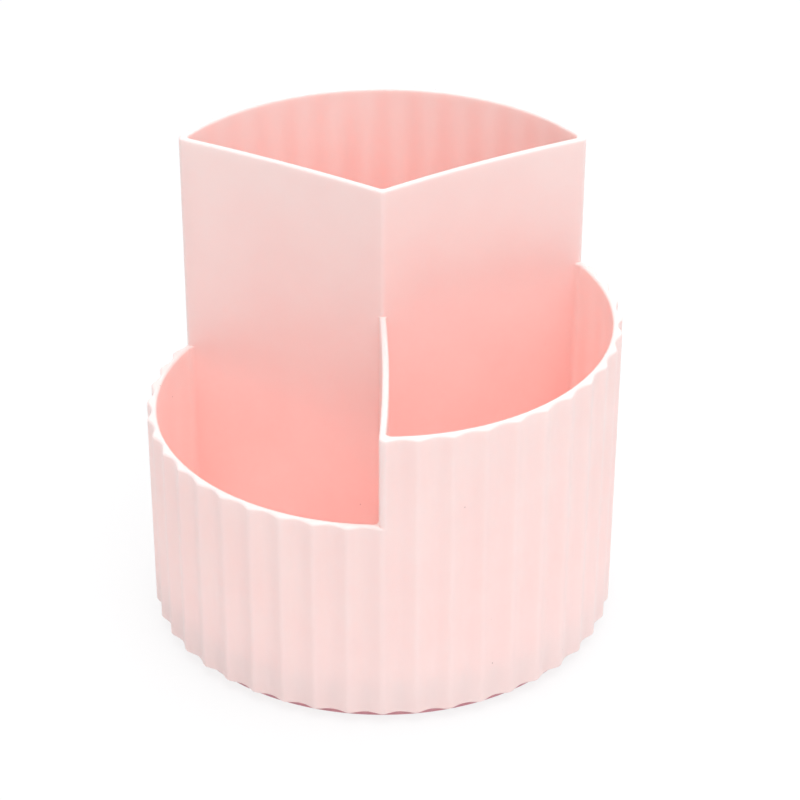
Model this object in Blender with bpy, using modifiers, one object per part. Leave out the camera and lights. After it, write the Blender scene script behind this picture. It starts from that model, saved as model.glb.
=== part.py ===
"""Rotating brush organiser: a fluted cup with three compartments on a ball-bearing turntable base.

Metres, +Z up. The origin is on the turning axis, at the table. The low compartments face -Y.
"""
import math

import bmesh
import bpy
from mathutils import Vector

# Running and assembly gaps
SEAT_GAP = 0.0003
TURN_GAP = 0.0010

# Cup, outside
FLUTE_COUNT = 44
FLUTE_STEPS = 5
FLUTE_DEPTH = 0.0012
ARRIS_RADIUS = 0.0616
WALL_DRAFT = 0.0096
TALL_HEIGHT = 0.1195
MEDIUM_HEIGHT = 0.0830
LOW_HEIGHT = 0.0573

# Cup, inside
WALL_THICKNESS = 0.0014
FLOOR_THICKNESS = 0.0018
DIVIDER_THICKNESS = 0.0016
DIVIDER_DRAFT = 0.0020
RIGHT_WALL_BOW = 0.0013
LEFT_WALL_BOW = -0.0009
FRONT_WALL_BOW = 0.0008
WALL_CORNER_RADIUS = 0.0015
HUB_CORNER_RADIUS = 0.0010
TOWER_ROUND_SHARE = 0.75
RIM_ROUND_SHARE = 0.42
RIM_FADE_SHARE = 0.8

# Base plate
BASE_DROP = 0.0025
FLANGE_THICKNESS = 0.0022
WEB_RISE = 0.0033
WEB_THICKNESS = 0.0020
RIM_WALL = 0.0020
RIM_HEIGHT = 0.0065
BASE_EDGE_ROUND = 0.0008

# Hub
BOSS_RADIUS = 0.0060
BOSS_PROUD = 0.0003
COLLAR_WALL = 0.0027
COLLAR_RISE = 0.0032

# Bearing
TRACK_RADIUS = 0.0360
BALL_COUNT = 12
BALL_RADIUS = 0.0025
CAGE_THICKNESS = 0.0016
CAGE_CLEARANCE = 0.0004
CAGE_LAND = 0.0017
TRACK_LIP = 0.0005
TRACK_SKIN = 0.0006

# Pivot screw and washer
SCREW_RADIUS = 0.0015
SCREW_HEAD_RADIUS = 0.0030
SCREW_HEAD_HEIGHT = 0.0014
SCREW_END_GAP = 0.0005
CROSS_WIDTH = 0.0007
CROSS_DEPTH = 0.0007
CROSS_SPAN_SHARE = 0.62
WASHER_RADIUS = 0.0085
WASHER_THICKNESS = 0.0008
PILOT_SKIN = 0.0010

# Foot pads
PAD_COUNT = 4
PAD_RADIUS = 0.0040
PAD_PROUD = 0.0005
PAD_RECESS = 0.0008
PAD_MARGIN = 0.0017

# How finely round shapes are divided
TURN_STEPS = 64
SMALL_STEPS = 24
DIVIDER_STEPS = 6
CORNER_STEPS = 3
RIM_STEPS = 2
POCKET_ARC_STEPS = 22
GROOVE_STEPS = 6
BALL_STEPS = 14
BALL_RINGS = 8
OVERRUN = 0.0010
MERGE_DISTANCE = 0.00001
SMOOTH_ANGLE = math.radians(30)

# Radii and heights that follow from the sizes above
QUARTER_TURN = math.pi / 2
THIRD_TURN = math.tau / 3
SIXTH_TURN = math.tau / 6
flute_pitch = math.tau / FLUTE_COUNT
skirt_radius = ARRIS_RADIUS - FLUTE_DEPTH - WALL_THICKNESS
base_radius = skirt_radius - TURN_GAP
pad_recess_radius = PAD_RADIUS + SEAT_GAP
flange_width = 2 * (pad_recess_radius + PAD_MARGIN)
groove_radius = BALL_RADIUS + SEAT_GAP
cage_width = 2 * (groove_radius + CAGE_LAND)
track_width = cage_width + 2 * TRACK_LIP
collar_bore = BOSS_RADIUS + SEAT_GAP

base_z = PAD_PROUD
cup_edge_z = base_z + BASE_DROP
web_under_z = base_z + WEB_RISE
web_top_z = web_under_z + WEB_THICKNESS
ball_z = web_top_z + groove_radius
cage_low_z = ball_z - CAGE_THICKNESS / 2
cage_high_z = ball_z + CAGE_THICKNESS / 2
lower_track_z = cage_low_z - CAGE_CLEARANCE
upper_track_z = cage_high_z + CAGE_CLEARANCE
floor_under_z = ball_z + groove_radius + TRACK_SKIN
floor_z = floor_under_z + FLOOR_THICKNESS
tall_rim_z = cup_edge_z + TALL_HEIGHT
medium_rim_z = cup_edge_z + MEDIUM_HEIGHT
low_rim_z = cup_edge_z + LOW_HEIGHT
boss_end_z = web_under_z - BOSS_PROUD
rim_round = RIM_ROUND_SHARE * WALL_THICKNESS

# Each divider: the direction it runs from the hub, and how far its middle bows that way round
FRONT = (-QUARTER_TURN, FRONT_WALL_BOW)
RIGHT = (-QUARTER_TURN + THIRD_TURN, RIGHT_WALL_BOW)
LEFT = (-QUARTER_TURN + 2 * THIRD_TURN, LEFT_WALL_BOW)


def linear(value):
    """One sRGB channel, 0 to 255, as linear light."""
    share = value / 255
    return share / 12.92 if share <= 0.04045 else ((share + 0.055) / 1.055) ** 2.4


def plain_material(name, rgb, roughness, metallic=0.0):
    material = bpy.data.materials.new(name)
    material.use_nodes = True
    shader = material.node_tree.nodes["Principled BSDF"]
    shader.inputs["Base Color"].default_value = [linear(value) for value in rgb] + [1.0]
    shader.inputs["Roughness"].default_value = roughness
    shader.inputs["Metallic"].default_value = metallic
    material.diffuse_color = [linear(value) for value in rgb] + [1.0]
    material.roughness = roughness
    material.metallic = metallic
    return material


def clear_scene():
    for item in list(bpy.data.objects):
        bpy.data.objects.remove(item, do_unlink=True)


def make_collection(name):
    collection = bpy.data.collections.new(name)
    bpy.context.scene.collection.children.link(collection)
    return collection


def add_object(name, mesh, collection, material=None, parent=None, location=(0, 0, 0)):
    item = bpy.data.objects.new(name, mesh)
    collection.objects.link(item)
    item.parent = parent
    item.location = location
    if material:
        mesh.materials.clear()
        mesh.materials.append(material)
    return item


def as_cutter(item):
    item.hide_render = True
    item.display_type = "WIRE"
    return item


def cut(target, cutter):
    modifier = target.modifiers.new("Cut " + cutter.name, "BOOLEAN")
    modifier.operation = "DIFFERENCE"
    modifier.solver = "EXACT"
    modifier.object = cutter


def finish(item):
    """Keep the turned and cut shape as the piece's own mesh, smooth except along its corners."""
    bpy.context.view_layer.update()
    depsgraph = bpy.context.evaluated_depsgraph_get()
    mesh = bpy.data.meshes.new_from_object(item.evaluated_get(depsgraph), depsgraph=depsgraph)
    mesh.name = item.name
    mesh.shade_smooth()
    mesh.set_sharp_from_angle(angle=SMOOTH_ANGLE)
    item.modifiers.clear()
    item.data = mesh
    return item


def mesh_from(builder, name):
    mesh = bpy.data.meshes.new(name)
    builder.to_mesh(mesh)
    builder.free()
    return mesh


def profile_mesh(name, points, closed):
    """A profile in the XZ plane, as edges for a Screw modifier."""
    builder = bmesh.new()
    corners = [builder.verts.new((radius, 0, height)) for radius, height in points]
    for first, second in zip(corners, corners[1:]):
        builder.edges.new((first, second))
    if closed:
        builder.edges.new((corners[-1], corners[0]))
    return mesh_from(builder, name)


def turn(item, steps):
    modifier = item.modifiers.new("Turned", "SCREW")
    modifier.axis = "Z"
    modifier.angle = math.tau
    modifier.steps = steps
    modifier.render_steps = steps
    modifier.use_merge_vertices = True
    modifier.merge_threshold = MERGE_DISTANCE


def arc(centre, radius, start, end, steps):
    """Points of a circle in the XZ plane, as (radius from the axis, height)."""
    points = []
    for step in range(steps + 1):
        angle = start + (end - start) * step / steps
        points.append((centre[0] + radius * math.cos(angle), centre[1] + radius * math.sin(angle)))
    return points


def track_groove(height, above):
    """The groove that the balls run in, seen across the track, inner lip to outer lip."""
    lip_angle = math.asin((ball_z - height) / groove_radius)
    if above:
        return arc((TRACK_RADIUS, ball_z), groove_radius, math.pi + lip_angle, -lip_angle, GROOVE_STEPS)
    return arc((TRACK_RADIUS, ball_z), groove_radius, math.pi + lip_angle, math.tau - lip_angle, GROOVE_STEPS)


def cylinder(name, collection, radius, low, high, steps, centre=(0, 0), material=None, parent=None):
    """A closed cylinder standing from one height to another."""
    builder = bmesh.new()
    bmesh.ops.create_cone(builder, cap_ends=True, segments=steps, radius1=radius, radius2=radius,
                          depth=high - low)
    place = (centre[0], centre[1], (low + high) / 2)
    return add_object(name, mesh_from(builder, name), collection, material, parent, place)


# Plan of the cup

def heading(angle):
    return Vector((math.cos(angle), math.sin(angle)))


def inner_radius(height):
    return skirt_radius + WALL_DRAFT * (height - cup_edge_z)


def fluted_radius(angle, height):
    """Outer wall: a sharp arris every pitch, with a shallow hollow between."""
    place = ((angle + QUARTER_TURN) / flute_pitch) % 1.0
    hollow = 1 - (2 * place - 1) ** 2
    return ARRIS_RADIUS + WALL_DRAFT * (height - cup_edge_z) - FLUTE_DEPTH * hollow


def divider_half(height):
    return DIVIDER_THICKNESS / 2 + DIVIDER_DRAFT * (tall_rim_z - height)


def divider_frame(divider, share, height):
    """A point on a divider's middle line, the way the line runs there, and the way across it."""
    angle, bow = divider
    reach = inner_radius(height)
    along, across = heading(angle), heading(angle + QUARTER_TURN)
    point = share * reach * along + 4 * bow * share * (1 - share) * across
    run = (along + 4 * bow * (1 - 2 * share) / reach * across).normalized()
    return point, run, Vector((-run.y, run.x))


def divider_face(divider, side, height):
    """Points on one face of a divider from near the hub to the inner wall."""
    points = []
    for step in range(1, DIVIDER_STEPS + 1):
        point, run, across = divider_frame(divider, step / DIVIDER_STEPS, height)
        points.append(point + side * divider_half(height) * across)
    points[-1] = points[-1].normalized() * inner_radius(height)
    return points


def faces_meet(first, first_side, second, second_side, height):
    """Where a face of one divider meets a face of the next, at the hub."""
    half = divider_half(height)
    start, run, across = divider_frame(first, 0, height)
    other_start, other_run, other_across = divider_frame(second, 0, height)
    start = start + first_side * half * across
    gap = other_start + second_side * half * other_across - start
    reach = (gap.x * other_run.y - gap.y * other_run.x) / (run.x * other_run.y - run.y * other_run.x)
    return start + reach * run


def round_corner(before, corner, after, radius):
    """An arc in place of a corner, touching both of the lines that meet there."""
    back = (before - corner).normalized()
    ahead = (after - corner).normalized()
    half_angle = back.angle(ahead) / 2
    setback = radius / math.tan(half_angle)
    middle = corner + (back + ahead).normalized() * radius / math.sin(half_angle)
    start = corner + back * setback - middle
    end = corner + ahead * setback - middle
    swing = start.angle_signed(end)
    points = []
    for step in range(CORNER_STEPS + 1):
        turned = -swing * step / CORNER_STEPS
        cosine, sine = math.cos(turned), math.sin(turned)
        points.append(middle + Vector((start.x * cosine - start.y * sine, start.x * sine + start.y * cosine)))
    return points


def pocket_parts(first, second, height):
    """A compartment's outline, anticlockwise from the hub, in the parts that other faces share."""
    out_face = divider_face(first, 1, height)
    back_face = divider_face(second, -1, height)
    hub = faces_meet(first, 1, second, -1, height)
    start = math.atan2(out_face[-1].y, out_face[-1].x)
    end = math.atan2(back_face[-1].y, back_face[-1].x)
    sweep = (end - start) % math.tau
    wall = [heading(start + sweep * step / POCKET_ARC_STEPS) * inner_radius(height)
            for step in range(1, POCKET_ARC_STEPS)]
    return {
        "hub": round_corner(back_face[0], hub, out_face[0], HUB_CORNER_RADIUS),
        "out": out_face[:-1],
        "near": round_corner(out_face[-2], out_face[-1], wall[0], WALL_CORNER_RADIUS),
        "wall": wall,
        "far": round_corner(wall[-1], back_face[-1], back_face[-2], WALL_CORNER_RADIUS),
        "back": back_face[-2::-1],
    }


def step_angle(divider, side, height):
    """Where the line of a divider's face leaves the outer wall, and the rim steps."""
    point, run, across = divider_frame(divider, 1, height)
    corner = point + side * divider_half(height) * across
    leaves = corner + run * (WALL_THICKNESS + FLUTE_DEPTH / 2)
    return math.atan2(leaves.y, leaves.x)


def outer_angles():
    """The directions of the outer wall's points, and which of them are steps in the rim."""
    count = FLUTE_COUNT * FLUTE_STEPS
    spacing = math.tau / count
    steps = {"low_end": (FRONT, -1), "medium_end": (RIGHT, -1), "tall_end": (LEFT, 1)}
    places = {name: step_angle(*face, medium_rim_z) for name, face in steps.items()}
    angles = []
    for index in range(count):
        angle = -QUARTER_TURN + spacing * index
        apart = [abs((angle - place + math.pi) % math.tau - math.pi) for place in places.values()]
        if min(apart) > spacing / 3:
            angles.append((angle % math.tau, None))
    angles.extend((place % math.tau, name) for name, place in places.items())
    angles.sort()
    return angles, steps


def cup_plan(height):
    """Every point of the cup's plan at one height, by group."""
    angles, steps = outer_angles()
    outer = []
    for angle, step in angles:
        if step:
            angle = step_angle(*steps[step], height)
        outer.append(heading(angle) * fluted_radius(angle, height))
    plan = {("outer", index): point for index, point in enumerate(outer)}
    for pocket, pair in (("low", (LEFT, FRONT)), ("medium", (FRONT, RIGHT)), ("tall", (RIGHT, LEFT))):
        for part, points in pocket_parts(*pair, height).items():
            plan.update({(pocket, part, index): point for index, point in enumerate(points)})
    left, right = divider_face(LEFT, 1, height)[0], divider_face(RIGHT, -1, height)[0]
    front = faces_meet(LEFT, 1, RIGHT, -1, height)
    tower = round_corner(left, front, right, TOWER_ROUND_SHARE * DIVIDER_THICKNESS)
    plan.update({("tower", index): point for index, point in enumerate(tower)})
    return plan


def keys_of(plan, *group):
    return [key for key in plan if key[:len(group)] == group]


def cup_regions(plan):
    """The cup's plan as faces: each rim's region, and each compartment's floor."""
    angles, steps = outer_angles()
    place = {step: index for index, (angle, step) in enumerate(angles) if step}
    outer = keys_of(plan, "outer")

    def outer_run(start, end):
        count = (end - start) % len(outer)
        return [outer[(start + index) % len(outer)] for index in range(count + 1)]

    part = {}
    for pocket in ("low", "medium", "tall"):
        for name in ("hub", "out", "near", "wall", "far", "back"):
            part[pocket, name] = keys_of(plan, pocket, name)
    tower = keys_of(plan, "tower")
    back = min(range(len(angles)), key=lambda index: abs(angles[index][0] - QUARTER_TURN))
    wall, hub = part["tall", "wall"], part["tall", "hub"]
    half_wall, half_hub, half_tower = len(wall) // 2, len(hub) // 2, len(tower) // 2

    low_rim = outer_run(place["tall_end"], place["low_end"])
    for name in ("far", "wall", "near"):
        low_rim += part["low", name][::-1]

    medium_rim = outer_run(place["low_end"], place["medium_end"])
    for name in ("far", "wall", "near", "out", "hub"):
        medium_rim += part["medium", name][::-1]
    medium_rim += tower[::-1] + part["low", "hub"][::-1] + part["low", "back"][::-1]
    medium_rim.append(part["low", "far"][-1])

    right_rim = outer_run(place["medium_end"], back) + wall[:half_wall + 1][::-1]
    right_rim += part["tall", "near"][::-1] + part["tall", "out"][::-1] + hub[half_hub:][::-1]
    right_rim += tower[half_tower:] + [part["medium", "hub"][0]]
    right_rim += part["medium", "back"][::-1] + [part["medium", "far"][-1]]

    left_rim = outer_run(back, place["tall_end"]) + [part["low", "near"][0]]
    left_rim += part["low", "out"][::-1] + [part["low", "hub"][-1]] + tower[:half_tower + 1]
    left_rim += hub[:half_hub + 1][::-1] + part["tall", "back"][::-1]
    left_rim += part["tall", "far"][::-1] + wall[half_wall:][::-1]

    floors = []
    for pocket in ("low", "medium", "tall"):
        floor = []
        for name in ("hub", "out", "near", "wall", "far", "back"):
            floor += part[pocket, name]
        floors.append(floor)
    return {"low": low_rim, "medium": medium_rim, "right": right_rim, "left": left_rim}, floors, outer


def border(regions):
    """The directed edges that only one of the regions has."""
    edges = []
    for region in regions:
        edges += list(zip(region, region[1:] + region[:1]))
    known = set(edges)
    return [edge for edge in edges if (edge[1], edge[0]) not in known]


def rim_draws(edges, plan):
    """How each point of a rim draws back into its wall as the rim rounds over: a share of the rounding."""
    ahead = dict(edges)
    behind = {second: first for first, second in edges}
    draws = {}
    for key in ahead:
        if key in behind:
            run_in = (plan[key] - plan[behind[key]]).normalized()
            run_out = (plan[ahead[key]] - plan[key]).normalized()
            inward = Vector((-run_in.y - run_out.y, run_in.x + run_out.x))
            draws[key] = inward / (1 + run_in.dot(run_out))
    return draws


def fade(radius, sweep, step):
    """The most that a rim may draw back on a corner's arc, this many steps from a higher wall."""
    return RIM_FADE_SHARE * radius * (1 / math.cos(sweep * step / CORNER_STEPS) - 1)


def faded_points(level):
    """The rounding left at points of a rim where a corner's arc runs into a higher wall."""
    left = {}
    for step in range(1, CORNER_STEPS + 1):
        wall_round = fade(WALL_CORNER_RADIUS, QUARTER_TURN, step)
        hub_round = fade(HUB_CORNER_RADIUS, SIXTH_TURN, step)
        if level == "low":
            left["low", "near", step] = wall_round
            left["low", "far", CORNER_STEPS - step] = wall_round
        if level == "medium":
            left["medium", "far", CORNER_STEPS - step] = wall_round
            left["medium", "hub", step] = hub_round
            left["low", "hub", CORNER_STEPS - step] = hub_round
    return left


def cup_shell():
    """The cup above its lower edge, with rounded rims and an uncut underside."""
    heights = (cup_edge_z, floor_z, low_rim_z, medium_rim_z, tall_rim_z)
    plans = {height: cup_plan(height) for height in heights}
    regions, floors, outer = cup_regions(plans[tall_rim_z])
    tower = [regions["right"], regions["left"]]
    medium = [regions["medium"]] + tower
    everything = [regions["low"]] + medium
    low_edges = set(border([regions["low"]]))
    medium_edges = set(border([regions["medium"]]))
    rims = (
        ("low", low_rim_z, [edge for edge in border(everything) if edge in low_edges], ("low",)),
        ("medium", medium_rim_z, [edge for edge in border(medium) if edge in medium_edges], ("medium",)),
        ("tall", tall_rim_z, border(tower), ("right", "left")),
    )
    builder = bmesh.new()
    corners = {}

    def corner(key, height):
        if (key, height) not in corners:
            corners[key, height] = builder.verts.new((*plans[height][key], height))
        return corners[key, height]

    def face(points):
        unique = list(dict.fromkeys(points))
        return builder.faces.new(unique)

    face([corner(key, cup_edge_z) for key in outer[::-1]])
    for floor in floors:
        face([corner(key, floor_z) for key in floor])

    rounds = {}
    for level, height, edges, names in rims:
        draws = rim_draws(edges, plans[height])
        left = faded_points(level)
        for key, draw in draws.items():
            size = min(rim_round, left.get(key, rim_round))
            points = []
            for step in range(RIM_STEPS + 1):
                angle = QUARTER_TURN * step / RIM_STEPS
                place = plans[height][key] + draw * size * (1 - math.cos(angle))
                points.append(builder.verts.new((*place, height - size * (1 - math.sin(angle)))))
            rounds[key, height] = points

    def rounded(key, height):
        return rounds.get((key, height)) or [corner(key, height)] * (RIM_STEPS + 1)

    def walls(edges, low_of, high, rim):
        for first, second in edges:
            low = low_of(first)
            top = [rounded(key, high)[0] if (first, second) in rim else corner(key, high)
                   for key in (first, second)]
            face([corner(first, low), corner(second, low), top[1], top[0]])

    rim_edges = {level: set(edges) for level, height, edges, names in rims}
    walls(border(everything), lambda key: cup_edge_z if key[0] == "outer" else floor_z, low_rim_z,
          rim_edges["low"])
    walls(border(medium), lambda key: low_rim_z, medium_rim_z, rim_edges["medium"])
    walls(border(tower), lambda key: medium_rim_z, tall_rim_z, rim_edges["tall"])
    for level, height, edges, names in rims:
        for first, second in edges:
            for step in range(RIM_STEPS):
                face([rounded(first, height)[step], rounded(second, height)[step],
                      rounded(second, height)[step + 1], rounded(first, height)[step + 1]])
        for name in names:
            face([rounded(key, height)[-1] for key in regions[name]])
    return mesh_from(builder, "cup_body")


def underside_cutter(collection):
    """The hollow under the floor: skirt, upper ball track and centre boss stay."""
    half_track = track_width / 2
    open_z = cup_edge_z - OVERRUN
    points = [
        (0, boss_end_z),
        (BOSS_RADIUS, boss_end_z),
        (BOSS_RADIUS, floor_under_z),
        (TRACK_RADIUS - half_track, floor_under_z),
        (TRACK_RADIUS - half_track, upper_track_z),
        *track_groove(upper_track_z, True),
        (TRACK_RADIUS + half_track, upper_track_z),
        (TRACK_RADIUS + half_track, floor_under_z),
        (skirt_radius, floor_under_z),
        (skirt_radius, open_z),
        (0, open_z),
    ]
    item = add_object("underside_cutter", profile_mesh("underside_cutter", points, False), collection)
    turn(item, TURN_STEPS)
    return as_cutter(item)


def make_cup(parts, cutters, material):
    cup = add_object("cup_body", cup_shell(), parts, material)
    cut(cup, underside_cutter(cutters))
    pilot = cylinder("pilot_cutter", cutters, SCREW_RADIUS + SEAT_GAP, boss_end_z - OVERRUN,
                     floor_z - PILOT_SKIN, SMALL_STEPS)
    cut(cup, as_cutter(pilot))
    return finish(cup)


def make_base(parts, cutters, material):
    """A stepped plate: flat flange, raised web, ball track, collar and upright rim."""
    flange_inner = base_radius - flange_width
    half_track = track_width / 2
    collar_outer = collar_bore + COLLAR_WALL
    flange_top = base_z + FLANGE_THICKNESS
    rim_top = base_z + RIM_HEIGHT
    edge = (base_radius - BASE_EDGE_ROUND, base_z + BASE_EDGE_ROUND)
    points = [
        (base_radius, rim_top),
        *arc(edge, BASE_EDGE_ROUND, 0, -QUARTER_TURN, CORNER_STEPS),
        (flange_inner, base_z),
        (flange_inner, web_under_z),
        (collar_bore, web_under_z),
        (collar_bore, web_top_z + COLLAR_RISE),
        (collar_outer, web_top_z + COLLAR_RISE),
        (collar_outer, web_top_z),
        (TRACK_RADIUS - half_track, web_top_z),
        (TRACK_RADIUS - half_track, lower_track_z),
        *track_groove(lower_track_z, False),
        (TRACK_RADIUS + half_track, lower_track_z),
        (TRACK_RADIUS + half_track, web_top_z),
        (flange_inner + WEB_THICKNESS, web_top_z),
        (flange_inner + WEB_THICKNESS, flange_top),
        (base_radius - RIM_WALL, flange_top),
        (base_radius - RIM_WALL, rim_top),
    ]
    base = add_object("base_plate", profile_mesh("base_plate", points, True), parts, material)
    turn(base, TURN_STEPS)
    for index, centre in enumerate(pad_places()):
        recess = cylinder(f"pad_cutter_{index + 1}", cutters, pad_recess_radius, base_z - OVERRUN,
                          base_z + PAD_RECESS, SMALL_STEPS, centre)
        cut(base, as_cutter(recess))
    return finish(base)


def pad_places():
    """Pads stand evenly round the middle of the flange, clear of the front."""
    circle = base_radius - flange_width / 2
    return [heading(math.tau * (index + 0.5) / PAD_COUNT) * circle for index in range(PAD_COUNT)]


def make_pads(parts, material, parent):
    for index, centre in enumerate(pad_places()):
        pad = cylinder(f"foot_pad_{index + 1}", parts, PAD_RADIUS, 0, base_z + PAD_RECESS - SEAT_GAP,
                       SMALL_STEPS, centre, material, parent)
        finish(pad)


def ball_places():
    return [heading(math.tau * (index + 0.5) / BALL_COUNT) * TRACK_RADIUS for index in range(BALL_COUNT)]


def make_cage(parts, cutters, material, parent):
    points = [
        (TRACK_RADIUS + cage_width / 2, cage_high_z),
        (TRACK_RADIUS + cage_width / 2, cage_low_z),
        (TRACK_RADIUS - cage_width / 2, cage_low_z),
        (TRACK_RADIUS - cage_width / 2, cage_high_z),
    ]
    cage = add_object("ball_cage", profile_mesh("ball_cage", points, True), parts, material, parent)
    turn(cage, TURN_STEPS)
    for index, centre in enumerate(ball_places()):
        pocket = cylinder(f"ball_cutter_{index + 1}", cutters, groove_radius, cage_low_z - OVERRUN,
                          cage_high_z + OVERRUN, SMALL_STEPS, centre)
        cut(cage, as_cutter(pocket))
    return finish(cage)


def make_balls(parts, material, parent):
    builder = bmesh.new()
    bmesh.ops.create_uvsphere(builder, u_segments=BALL_STEPS, v_segments=BALL_RINGS, radius=BALL_RADIUS)
    mesh = mesh_from(builder, "ball")
    mesh.shade_smooth()
    for index, centre in enumerate(ball_places()):
        add_object(f"ball_{index + 1:02d}", mesh, parts, material, parent, (centre.x, centre.y, ball_z))


def make_washer(parts, material):
    top = boss_end_z - SEAT_GAP
    bore = SCREW_RADIUS + SEAT_GAP
    points = [
        (WASHER_RADIUS, top),
        (WASHER_RADIUS, top - WASHER_THICKNESS),
        (bore, top - WASHER_THICKNESS),
        (bore, top),
    ]
    washer = add_object("pivot_washer", profile_mesh("pivot_washer", points, True), parts, material)
    turn(washer, 2 * SMALL_STEPS)
    return finish(washer)


def make_screw(parts, cutters, material):
    """A pan head screw, head down, with a cross recess in the head."""
    seat = boss_end_z - SEAT_GAP - WASHER_THICKNESS - SEAT_GAP
    head_low = seat - SCREW_HEAD_HEIGHT
    tip = floor_z - PILOT_SKIN - SCREW_END_GAP
    crown = SCREW_HEAD_HEIGHT / 2
    points = [
        (0, tip),
        (SCREW_RADIUS / 2, tip),
        (SCREW_RADIUS, tip - SCREW_RADIUS),
        (SCREW_RADIUS, seat),
        (SCREW_HEAD_RADIUS, seat),
        *arc((SCREW_HEAD_RADIUS - crown, seat - crown), crown, 0, -QUARTER_TURN, CORNER_STEPS),
        (0, head_low),
    ]
    screw = add_object("pivot_screw", profile_mesh("pivot_screw", points, False), parts, material)
    turn(screw, SMALL_STEPS)
    span = 2 * SCREW_HEAD_RADIUS * CROSS_SPAN_SHARE
    cross = bmesh.new()
    bmesh.ops.create_cube(cross, size=1)
    bmesh.ops.scale(cross, vec=(span, CROSS_WIDTH, CROSS_DEPTH + OVERRUN), verts=cross.verts)
    slot = mesh_from(cross, "cross_cutter")
    for index in range(2):
        cutter = as_cutter(add_object(f"cross_cutter_{index + 1}", slot, cutters))
        cutter.location = (0, 0, head_low + (CROSS_DEPTH - OVERRUN) / 2)
        cutter.rotation_euler = (0, 0, QUARTER_TURN * index)
        cut(screw, cutter)
    return finish(screw)


def main():
    clear_scene()
    parts = make_collection("rotating_brush_organiser")
    cutters = make_collection("cutters")
    cup_plastic = plain_material("pale pink plastic", (250, 214, 210), 0.42)
    base_plastic = plain_material("dusty rose plastic", (196, 146, 150), 0.45)
    cage_plastic = plain_material("natural acetal", (240, 238, 230), 0.4)
    steel = plain_material("polished steel", (200, 202, 205), 0.18, 1.0)
    zinc = plain_material("zinc plated steel", (190, 192, 196), 0.32, 1.0)
    rubber = plain_material("clear grey rubber", (196, 194, 190), 0.7)

    base_root = bpy.data.objects.new("base_root", None)
    cage_axis = bpy.data.objects.new("cage_axis", None)
    cup_axis = bpy.data.objects.new("cup_axis", None)
    for empty in (base_root, cage_axis, cup_axis):
        parts.objects.link(empty)
    cage_axis.parent = base_root
    cup_axis.parent = base_root

    cup = make_cup(parts, cutters, cup_plastic)
    screw = make_screw(parts, cutters, zinc)
    washer = make_washer(parts, zinc)
    for item in (cup, screw, washer):
        item.parent = cup_axis
    base = make_base(parts, cutters, base_plastic)
    base.parent = base_root
    make_pads(parts, rubber, base_root)
    make_cage(parts, cutters, cage_plastic, cage_axis)
    make_balls(parts, steel, cage_axis)


main()
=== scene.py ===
import math
from functools import lru_cache

import bmesh
import bpy
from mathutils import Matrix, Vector


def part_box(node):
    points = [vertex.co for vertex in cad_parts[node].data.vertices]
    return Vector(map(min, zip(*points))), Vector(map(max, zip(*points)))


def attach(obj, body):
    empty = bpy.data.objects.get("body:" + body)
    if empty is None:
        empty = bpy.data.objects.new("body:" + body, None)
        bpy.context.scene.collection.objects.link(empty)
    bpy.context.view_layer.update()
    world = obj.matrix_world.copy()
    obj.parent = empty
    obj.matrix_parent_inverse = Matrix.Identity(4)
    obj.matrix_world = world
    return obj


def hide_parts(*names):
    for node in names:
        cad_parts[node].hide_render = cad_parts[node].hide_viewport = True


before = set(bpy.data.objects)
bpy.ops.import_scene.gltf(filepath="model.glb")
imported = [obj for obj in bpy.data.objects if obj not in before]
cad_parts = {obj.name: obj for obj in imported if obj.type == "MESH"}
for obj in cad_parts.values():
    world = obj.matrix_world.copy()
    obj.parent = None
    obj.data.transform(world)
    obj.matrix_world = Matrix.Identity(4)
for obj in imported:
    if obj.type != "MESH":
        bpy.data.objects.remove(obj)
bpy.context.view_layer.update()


# Base plate
# A round plate moulded in dusty rose polypropylene. Its flat flange stands on four foot pads, and a raised
# web carries the lower ball track and the collar that the cup's boss turns in. Only its rim shows.
base_low, base_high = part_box("base_plate")
ball_low, ball_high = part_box("ball_01")
cage_low, cage_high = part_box("ball_cage")
base_radius, base_z, collar_top_z = base_high.x, base_low.z, base_high.z
ball_z = (ball_low.z + ball_high.z) / 2
BASE_EDGE_ROUND = 0.00015
RIM_WALL = 0.0020
RIM_HEIGHT = 0.0065
RIM_TOP_ROUND = 0.0005
FLANGE_WIDTH = 0.0120
FLANGE_THICKNESS = 0.0022
WEB_RISE = 0.0033
WEB_THICKNESS = 0.0020
COLLAR_BORE = 0.0063
COLLAR_WALL = 0.0027
TRACK_RADIUS = 0.0360
TRACK_WIDTH = 0.0100
TRACK_CLEARANCE = 0.0004
GROOVE_RADIUS = 0.0028
BASE_FILLET = 0.0004
TRACK_EDGE = 0.0002
PAD_RECESS_RADIUS = 0.0043
PAD_RECESS_DEPTH = 0.0008
BASE_STEPS = 192
GROOVE_STEPS = 10
FINE_STEPS = 6
PAD_COUNT = 4
RECESS_STEPS = 64
MERGE_DISTANCE = 0.000005
SMOOTH_ANGLE = math.radians(32)


def start_piece(name, add_primitive, **sizes):
    """A primitive at its size and place, as the start of a piece."""
    if bpy.context.object and bpy.context.object.mode == "EDIT":
        bpy.ops.object.mode_set(mode="OBJECT")
    bpy.ops.object.select_all(action="DESELECT")
    add_primitive(**sizes)
    piece = bpy.context.object
    piece.name = name
    piece.data.name = name
    return piece


def finish_piece(piece, material, smooth=SMOOTH_ANGLE):
    """The finished piece: one skin, faces outwards, its place in its mesh, smooth but for its corners."""
    bpy.ops.object.mode_set(mode="EDIT")
    bpy.ops.mesh.select_all(action="SELECT")
    bpy.ops.mesh.remove_doubles(threshold=MERGE_DISTANCE)
    bpy.ops.mesh.normals_make_consistent(inside=False)
    bpy.ops.object.mode_set(mode="OBJECT")
    bpy.ops.object.transform_apply(location=True, rotation=True, scale=True)
    bpy.ops.object.shade_smooth_by_angle(angle=smooth)
    piece.data.materials.clear()
    piece.data.materials.append(material)
    return piece


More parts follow.
